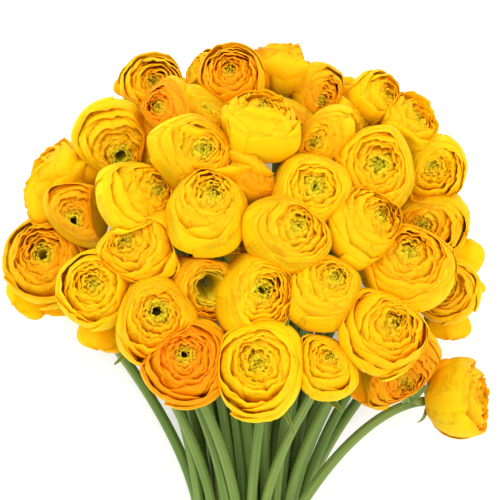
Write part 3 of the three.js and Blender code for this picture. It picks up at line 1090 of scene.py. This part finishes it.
def seed_material():
    material = bpy.data.materials.new("seed_head")
    material.use_nodes = True
    tree = material.node_tree
    shader = tree.nodes["Principled BSDF"]
    where = tree.nodes.new("ShaderNodeTexCoord").outputs["Object"]
    _, carpel_grain = grain(tree, where, 900.0, 0.40, 0.65, detail=2.0)
    tree.links.new(tint(tree, SEED_DARK_AND_SHADE, SEED_GREEN, carpel_grain), shader.inputs["Base Color"])
    shader.inputs["Roughness"].default_value = 0.5
    return material


SEED = seed_material()
SEED_HEAD_TREE = seed_head_tree()
print("seed head tree nodes", len(SEED_HEAD_TREE.nodes))

# %% Sepals and seed heads on every bloom
SEPALS = 5
SEPAL_SPINE = ((3.2, -20.6), (10.5, -19.4), (15.0, -21.0))    # out from the axis and up, in mm
SEPAL_TIP = (16.5, -21.0, -4.5)                              # its tip, and how far a curl lowers it
SEPAL_WIDTH = 6.5 * MM
SEPAL_WALL = 0.4 * MM
SEED_BASE = 8 * MM      # how far under a bloom's middle its seed head starts
SEED_DRAWN = 18 * MM    # the height over which the drawn heart takes the seed head along
sepal_chance = np.random.default_rng(7)


def sepal(turn, curl):
    """One sepal on an upright bloom, turned round its axis."""
    outward = np.array([math.cos(turn), math.sin(turn), 0])
    knots = [outward * out * MM + np.array([0, 0, up * MM]) for out, up in SEPAL_SPINE]
    out, up, fall = SEPAL_TIP
    knots.append(outward * out * MM + np.array([0, 0, (up + fall * curl) * MM]))
    sideways = np.array([-outward[1], outward[0], 0])
    return blade(bend(knots, 8), sideways, pointed(8, SEPAL_WIDTH), 0.25, columns=5)


for bloom in blooms:
    number = bloom["number"]
    turned = turned_to(bloom["facing"])
    blades = []
    start = sepal_chance.uniform(0, 2 * math.pi)
    for place in range(SEPALS):
        turn = start + place * 2 * math.pi / SEPALS + sepal_chance.uniform(-0.15, 0.15)
        points, faces, along, across = sepal(turn, sepal_chance.uniform(0.6, 1.5))
        points = press(points @ turned.T + bloom["middle"], bloom["presses"][:1])
        points[:, 2] = np.maximum(points[:, 2], LEAF_CLEAR)
        blades.append((points, faces, along, across))
    sepals = blades_mesh("sepals", blades, LEAF)
    add_piece(f"sepals_{number:02d}", sepals, "stems", f"bloom_{number:02d}", thickness=SEPAL_WALL)
    head = grow(
        SEED_HEAD_TREE, {"Carpels": 60, "Width": 6.5 * MM, "Height": 15 * MM, "Carpel Width": 1.5 * MM},
    )
    points = mesh_points(head)
    drawn_side, drawn_ahead, _ = bloom["drawn"] * bloom["radius"]
    aside = np.outer(np.clip(points[:, 2] / SEED_DRAWN, 0, 1), [drawn_side, drawn_ahead, 0])
    place_points(head, (points - np.array([0, 0, SEED_BASE]) + aside) @ turned.T + bloom["middle"])
    add_piece(f"seed_head_{number:02d}", head, "petals", f"bloom_{number:02d}")
print("sepals", SEPALS * len(blooms), "seed heads", len(blooms))

# %% [markdown]
# ## Stems
# A ranunculus stem is a soft green tube with shallow ribs, a little thicker at the cut end, and hollow. A
# tree turns each line into a tube: the line becomes a curve, its points carry the girth, and a ribbed ring is
# drawn along it. The flat ends are pushed in, which makes the hollow of a fresh cut.

# %% Stem material
STEM_GREEN = (0.100, 0.195, 0.030)
STEM_PALE = (0.23, 0.31, 0.065)
CUT_PALE = (0.50, 0.56, 0.26)
STEM_RIBS = 9
STEM_DRAWN = 7.1 * MM


def stem_material():
    material = bpy.data.materials.new("ranunculus_stem")
    material.use_nodes = True
    tree = material.node_tree
    shader = tree.nodes["Principled BSDF"]
    around, from_cut = look(material, "around"), look(material, "from_cut")
    tone, end = look(material, "tone"), look(material, "end")
    turn = around * (2 * math.pi)
    ring = vector(tree, turn.cosine() * 0.9, turn.sine() * 0.9, from_cut * 6.0 + tone * 17.0)
    streaks, streaked = grain(tree, ring, 2.2, 0.38, 0.72)
    colour = tint(tree, STEM_GREEN, STEM_PALE, (streaked * 0.55 + tone * 0.35).least(1.0))
    colour = tint(tree, colour, CUT_PALE, end)
    tree.links.new(colour, shader.inputs["Base Color"])
    relief(tree, shader, (around * (2 * math.pi * STEM_RIBS)).sine() * 0.5 + streaks, 0.5, 0.3 * MM)
    shader.inputs["Roughness"].default_value = 0.48
    shader.inputs["Specular IOR Level"].default_value = 0.25
    return material


STEM = stem_material()
print("stem material nodes", len(STEM.node_tree.nodes))


# %% Stem tree
def stem_tree():
    sizes = [
        ("Width", "Float", STEM_DRAWN), ("Sides", "Int", 14),
        ("Hollow", "Float", 0.5), ("Depth", "Float", 6 * MM),
    ]
    tree, given = new_tree("ranunculus_stem", sizes)
    lines = tree.nodes["Group Input"].outputs[0]
    curves = put(tree, "GeometryNodeMeshToCurve", None, Mesh=lines).outputs[0]
    parameter = tree.nodes.new("GeometryNodeSplineParameter")
    curves = keep(tree, curves, "from_cut", Amount(tree, parameter.outputs["Length"]))
    girth = given["Width"] * 0.5 * read(tree, "girth")
    curves = put(tree, "GeometryNodeSetCurveRadius", None, Curve=curves, Radius=girth).outputs[0]
    ring = put(tree, "GeometryNodeCurvePrimitiveCircle", None, Resolution=given["Sides"]).outputs[0]
    ring = keep(
        tree, ring, "around", Amount(tree, tree.nodes.new("GeometryNodeSplineParameter").outputs["Factor"]),
    )
    radius = tree.nodes.new("GeometryNodeInputRadius").outputs[0]
    tubes = put(
        tree, "GeometryNodeCurveToMesh", None, Curve=curves, Profile_Curve=ring, Fill_Caps=True,
        Scale=radius,
    )
    neighbours = tree.nodes.new("GeometryNodeInputMeshFaceNeighbors").outputs["Vertex Count"]
    is_end = put(
        tree, "FunctionNodeCompare", {"data_type": "INT", "operation": "GREATER_THAN"}, A=neighbours, B=4,
    )
    faces = {"mode": "FACES"}
    tubes, is_end = tubes.outputs[0], is_end.outputs[0]
    rim = put(tree, "GeometryNodeExtrudeMesh", faces, Mesh=tubes, Selection=is_end, Offset_Scale=0.0)
    rim_mesh, flat_end = rim.outputs["Mesh"], rim.outputs["Top"]
    rim_in = put(
        tree, "GeometryNodeScaleElements", None, Geometry=rim_mesh, Selection=flat_end,
        Scale=given["Hollow"],
    )
    inwards = given["Depth"] * -1.0
    well = put(
        tree, "GeometryNodeExtrudeMesh", faces, Mesh=rim_in.outputs[0], Selection=flat_end,
        Offset_Scale=inwards,
    )
    ends = keep(tree, well.outputs["Mesh"], "end", 0.0, "FACE")
    for fresh in (rim.outputs["Side"], flat_end, well.outputs["Side"]):
        ends = keep(tree, ends, "end", 1.0, "FACE")
        plug(tree, fresh, named(ends.node.inputs, "Selection"))
    finish_tree(tree, ends, STEM)
    return tree


STEM_TREE = stem_tree()
print("stem tree nodes", len(STEM_TREE.nodes))


# %% Draw the stems
def girth_along(points):
    """A stem is fuller at the cut, neat in the tie, full again ahead of it, and slim below the bloom."""
    ahead = points[:, 1] - tie.y
    whole = np.linspace(0, 1, len(points))
    fuller = 1.0 + 0.08 * np.clip(-ahead / TAIL, 0, 1) + 0.13 * np.clip(ahead / (80 * MM), 0, 1)
    return fuller - 0.16 * np.clip((whole - 0.55) / 0.45, 0, 1)


def draw_stems(name, flowers, *stands_for):
    lines = bpy.data.meshes.new(name + "_lines")
    points = np.vstack([bloom["stem"] for bloom in flowers])
    girths = np.concatenate([girth_along(bloom["stem"]) for bloom in flowers])
    points[:, 2] = np.maximum(points[:, 2], girths * STEM_DRAWN / 2 + 0.1 * MM)
    starts = np.cumsum([0] + [len(bloom["stem"]) for bloom in flowers])
    edges = [(spot, spot + 1) for start, end in zip(starts, starts[1:]) for spot in range(start, end - 1)]
    lines.from_pydata(points.tolist(), edges, [])
    tones = np.concatenate([np.full(len(bloom["stem"]), (bloom["number"] * 0.618) % 1) for bloom in flowers])
    for label, numbers in (("girth", girths), ("tone", tones)):
        lines.attributes.new(label, "FLOAT", "POINT").data.foreach_set("value", numbers.astype(np.float32))
    add_piece(name, grow(STEM_TREE, {}, start=lines), "stems", *stands_for)


for level, layer in enumerate(layers, start=1):
    draw_stems(f"stems_of_layer_{level}", layer, f"stem_layer_{level}")
draw_stems("stem_that_stands_away", [stray], "stray_stem")
print("stems drawn", len(blooms))

# %% [markdown]
# ## Petals that have come loose, and stem leaves
# The oldest petals let go of the globe and stand off from the bunch, where their pale backs catch the light.
# Small leaves, the bracts, grow on the stems below the blooms, and their tips peep out between the flowers.
# Each blade starts on its own flower's foot or stem, so that nothing hangs in the air.

# %% Loose petals
# Flower, tip of the petal to the side and ahead of the tie, its level over the bloom's middle, width, blush.
LOOSE_PETALS = [
    (1, -92, 371, -4, 34, 0.1), (1, -62, 369, -8, 34, 0.1), (42, -45, 374, 0, 15, 0.0),
    (2, -32, 380, -2, 26, 0.5), (3, 6, 386, 20, 34, 0.95), (3, 26, 384, 24, 40, 0.3),
    (3, 46, 374, 18, 38, 0.45), (4, 66, 352, -6, 40, 0.35), (4, 60, 366, -8, 32, 0.3),
    (10, -166, 282, 16, 46, 0.05), (10, -152, 300, 22, 48, 0.12), (10, -124, 304, 18, 44, 0.2),
    (10, -164, 262, 8, 38, 0.05), (10, -140, 296, 25, 40, 0.05), (15, -173, 194, 2, 36, 0.05),
    (15, -150, 189, -6, 38, 0.15), (15, -172, 232, -8, 34, 0.3), (17, -108, 165, -4, 36, 0.15),
    (17, -92, 164, -8, 34, 0.2), (19, -66, 134, -8, 26, 0.05), (20, -4, 120, -6, 34, 0.1),
    (20, 24, 124, -10, 26, 0.15), (36, 160, 246, -2, 36, 0.05), (36, 164, 220, 0, 34, 0.1),
    (36, 160, 192, -4, 34, 0.12), (36, 148, 170, -8, 34, 0.15), (30, 84, 354, 0, 30, 0.05),
    (30, 104, 350, -2, 26, 0.2), (31, 128, 326, -4, 36, 0.05), (32, 144, 310, -6, 38, 0.15),
    (32, 152, 286, -8, 36, 0.2), (9, 2, 340, 25, 44, 0.0), (9, 20, 336, 22, 40, 0.0),
    (7, -44, 326, 22, 34, 0.1), (37, -10, 298, 26, 40, 0.35), (37, 4, 304, 24, 36, 0.6),
    (39, -40, 232, 4, 40, 0.15), (33, 154, 258, -8, 34, 0.3), (23, 80, 126, 4, 42, 0.65),
    (23, 104, 128, 6, 40, 0.75), (23, 124, 142, 4, 36, 0.8), (23, 136, 168, 2, 34, 0.6),
    (50, 160, 150, 14, 34, 0.55), (50, 168, 132, 16, 34, 0.6), (50, 166, 112, 12, 32, 0.5),
]


def blade_from(base, tip, bow, rows):
    """A spine from a base to a tip, bowed out over its middle."""
    return bend([base, base + (tip - base) * 0.45 + bow, tip], rows)


def loose_petal(flower, side, ahead, level, width, blush, number):
    bloom = blooms[flower - 1]
    tip = FROM_TIE + np.array([side, ahead, 0]) * MM
    tip[2] = max(bloom["middle"][2] + level * MM, 4 * MM)
    base = bloom["foot"] + bloom["facing"] * 3 * MM
    outward = tip - base
    bow = np.array([0, 0, 1.0]) * (6 + 1.1 * max(level, 0)) - bloom["facing"] * 3.6
    spine = blade_from(base, tip, bow * MM, 14)
    across = np.cross(outward, [0, 0, 1.0])
    across /= np.linalg.norm(across)
    widths = rounded(14, width * MM)
    points, *rest = blade(spine, across, widths, -0.35, columns=13, ripple=1.3 * MM, seed=number)
    points[:, 2] = np.maximum(points[:, 2], LEAF_CLEAR)
    return points, *rest


for number, (flower, side, ahead, level, width, blush) in enumerate(LOOSE_PETALS, start=1):
    petal = loose_petal(flower, side, ahead, level, width, blush, number)
    mesh = blades_mesh(
        "loose_petal", [petal], PETAL, extra=(("share", 0.9), ("warmth", blush), ("green", 0.0)),
    )
    add_piece(f"loose_petal_{number:02d}", mesh, "petals", thickness=0.35 * MM, offset=0.0)
print("loose petals", len(LOOSE_PETALS))

# %% Stem leaves
# Flower whose stem it grows on, tip to the side and ahead of the tie, level over the bloom's middle, width.
STEM_LEAVES = [
    (10, -125, 292, 20, 5), (10, -150, 266, 14, 5), (6, -84, 294, 20, 7), (1, -104, 346, 4, 4),
    (17, -99, 182, 4, 6), (18, -96, 156, 2, 6), (20, 32, 107, 2, 4), (21, 66, 122, 0, 5),
    (20, 28, 190, 12, 6), (22, 104, 150, 8, 9), (50, 118, 146, 10, 6), (50, 124, 152, 16, 6),
    (50, 116, 130, 6, 6), (50, 130, 138, 20, 5), (39, -42, 240, 10, 7), (36, 146, 242, 12, 6),
    (24, 24, 214, 12, 7),
]
for number, (flower, side, ahead, level, width) in enumerate(STEM_LEAVES, start=1):
    bloom = blooms[flower - 1]
    tip = FROM_TIE + np.array([side, ahead, 0]) * MM
    tip[2] = max(bloom["middle"][2] + level * MM, 3 * MM)
    base = bloom["stem"][-5]
    spine = blade_from(base, tip, -bloom["facing"] * 2 * MM, 12)
    across = np.cross(tip - base, [0, 0, 1.0])
    across /= np.linalg.norm(across)
    leaf = blade(spine, across, pointed(12, width * MM, 0.5), 0.5, columns=7, ripple=0.5 * MM, seed=number)
    add_piece(f"stem_leaf_{number:02d}", blades_mesh("stem_leaf", [leaf], LEAF), "stems", thickness=0.5 * MM)
print("stem leaves", len(STEM_LEAVES))

# %% [markdown]
# ## Twine
# The bunch is tied with soft jute twine, three turns side by side and a knot on top. A tree turns a line into
# a laid twine: three yarns run round each other along the line.

# %% Twine material
TWINE_WIDTH = 2.3 * MM
JUTE_DARK = (0.22, 0.13, 0.055)
JUTE_PALE = (0.50, 0.36, 0.19)


def twine_material():
    material = bpy.data.materials.new("jute_twine")
    material.use_nodes = True
    tree = material.node_tree
    shader = tree.nodes["Principled BSDF"]
    where = tree.nodes.new("ShaderNodeTexCoord").outputs["Object"]
    fibres, fibrous = grain(tree, where, 1400.0, 0.35, 0.68)
    tree.links.new(tint(tree, JUTE_DARK, JUTE_PALE, fibrous), shader.inputs["Base Color"])
    relief(tree, shader, fibres, 0.6, 0.2 * MM)
    shader.inputs["Roughness"].default_value = 0.85
    return material


TWINE = twine_material()
print("twine material nodes", len(TWINE.node_tree.nodes))


# %% Twine tree
def twine_tree():
    tree, given = new_tree("laid_twine", [("Width", "Float", TWINE_WIDTH), ("Lay", "Float", 7 * MM)])
    line = tree.nodes["Group Input"].outputs[0]
    curve = put(tree, "GeometryNodeMeshToCurve", None, Mesh=line).outputs[0]
    length = Amount(tree, tree.nodes.new("GeometryNodeSplineParameter").outputs["Length"])
    lay = length * (2 * math.pi) / given["Lay"]
    curve = put(tree, "GeometryNodeSetCurveTilt", None, Curve=curve, Tilt=lay).outputs[0]
    ring = put(tree, "GeometryNodeCurvePrimitiveCircle", None, Resolution=15).outputs[0]
    around = Amount(tree, tree.nodes.new("GeometryNodeSplineParameter").outputs["Factor"]) * (2 * math.pi)
    lobed = given["Width"] * 0.5 * (0.84 + 0.16 * (around * 3.0).cosine())
    ring = move(tree, ring, vector(tree, lobed * around.cosine(), lobed * around.sine(), 0.0))
    tube = put(tree, "GeometryNodeCurveToMesh", None, Curve=curve, Profile_Curve=ring, Fill_Caps=True)
    finish_tree(tree, tube.outputs[0], TWINE)
    return tree


TWINE_TREE = twine_tree()
print("twine tree nodes", len(TWINE_TREE.nodes))

# %% Tie the bunch
TURNS = 3


def round_the_stems(steps):
    """The way of a tight string round all the stems in the tie, with even steps."""
    centres = np.array([bloom["stem"][TAIL_STEPS] - FROM_TIE for bloom in blooms])[:, [0, 2]]
    turn = np.linspace(0, 2 * math.pi, 720, endpoint=False) + math.pi / 2
    ways = np.stack([np.cos(turn), np.sin(turn)], axis=1)
    hull = centres[np.argmax(centres @ ways.T, axis=0)] + ways * (STEM_DRAWN + TWINE_WIDTH) / 2
    hull = np.vstack([hull, hull[:1]])
    gone = np.append(0, np.cumsum(np.linalg.norm(np.diff(hull, axis=0), axis=1)))
    even = np.linspace(0, gone[-1], steps + 1)
    return np.stack([np.interp(even, gone, hull[:, 0]), np.interp(even, gone, hull[:, 1])], axis=1)[:-1]


def line_mesh(points):
    mesh = bpy.data.meshes.new("line")
    mesh.from_pydata(
        [tuple(point) for point in points], [(spot, spot + 1) for spot in range(len(points) - 1)], [],
    )
    return mesh


STEPS = 90
once = round_the_stems(STEPS)
every = np.vstack([once] * TURNS + [once[:1]])
climb = np.linspace(-0.5, 0.5, len(every)) * TURNS * TWINE_WIDTH * 1.08
wound = np.stack([tie.x + every[:, 0], tie.y + climb, every[:, 1]], axis=1)
add_piece("twine_turns", grow(TWINE_TREE, {}, start=line_mesh(wound)), "twine", "twine_tie")
top = np.array([tie.x, tie.y, once[:, 1].max()])
knot_turn = np.linspace(0, 2 * math.pi * 2, 60)
knot = top + np.stack([
    2.6 * MM * np.sin(knot_turn / 2) + 0.6 * MM * np.sin(knot_turn),
    5.0 * MM * np.cos(knot_turn),
    2.2 * MM * np.sin(knot_turn),
], axis=1)
add_piece("twine_knot", grow(TWINE_TREE, {}, start=line_mesh(knot)), "twine", "twine_tie")
tails = []
for number, (side, ahead) in enumerate(((13, -34), (20, -24)), start=1):
    tail = bend([
        top + np.array([1, -3, 1.2]) * MM,
        top + np.array([side * 0.2, ahead * 0.4, 2.5]) * MM,
        top + np.array([side * 0.7, ahead * 0.7, 0.5]) * MM,
        top + np.array([side, ahead, -2.0]) * MM,
    ], 30)
    tails.append(tail)
    add_piece(f"twine_end_{number}", grow(TWINE_TREE, {}, start=line_mesh(tail)), "twine", "twine_tie")
twine_lines = [wound, knot, *tails]
twine_length = sum(np.linalg.norm(np.diff(line, axis=0), axis=1).sum() for line in twine_lines)
print("twine", TURNS, "turns,", round(twine_length / MM), "mm long")
